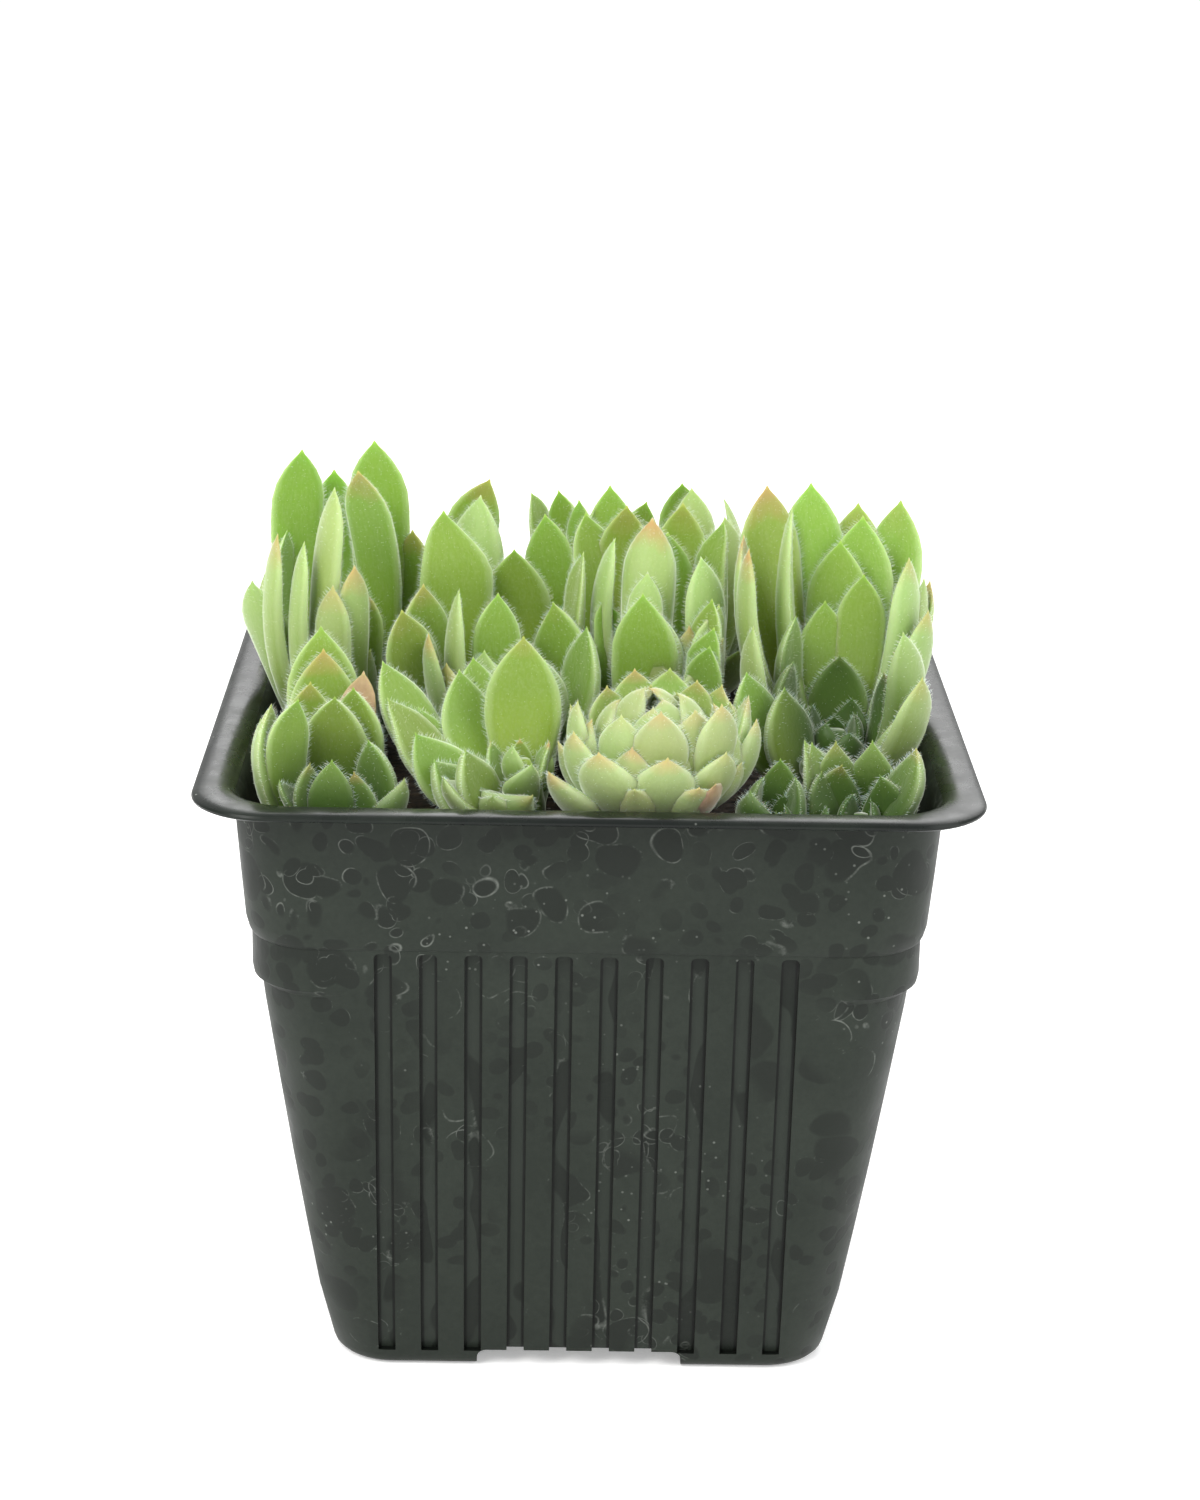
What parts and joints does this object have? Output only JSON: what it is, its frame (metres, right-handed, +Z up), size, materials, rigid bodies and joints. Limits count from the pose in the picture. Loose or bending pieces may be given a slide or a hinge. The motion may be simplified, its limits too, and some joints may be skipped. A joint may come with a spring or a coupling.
{
  "type": "potted hens and chicks",
  "caption": "Crowded clump of pointed-leaf succulent rosettes filling a square tapered nursery pot with a rolled rim.",
  "frame": {"origin": "middle of the pot's footprint, on the surface that it stands on", "axes": "+Z up; -Y is the side that the picture shows; +X to its right"},
  "size_m": [0.1, 0.1, 0.1165],
  "materials": {
    "pot_plastic": "semi-gloss moulded plastic with dried water marks",
    "potting_mix": "damp, crumbly and matt",
    "leaf_green": "fleshy leaf, satin, with fine down",
    "leaf_pale": "pale fleshy leaf, satin, pink at the tips"
  },
  "bodies": {
    "root": {"pot": "pot_plastic", "soil": "potting_mix", "chick_front": "leaf_pale", "hen_right": "leaf_green", "hen_front_left": "leaf_green", "hen_tall_left": "leaf_green", "hen_open": "leaf_green", "hen_centre": "leaf_green", "hen_back": "leaf_green", "hen_back_left": "leaf_green", "hen_back_right": "leaf_green", "hen_far_left": "leaf_green", "hen_far_back": "leaf_green", "chick_front_right": "leaf_green", "chick_corner": "leaf_green"}
  },
  "joints": []
}
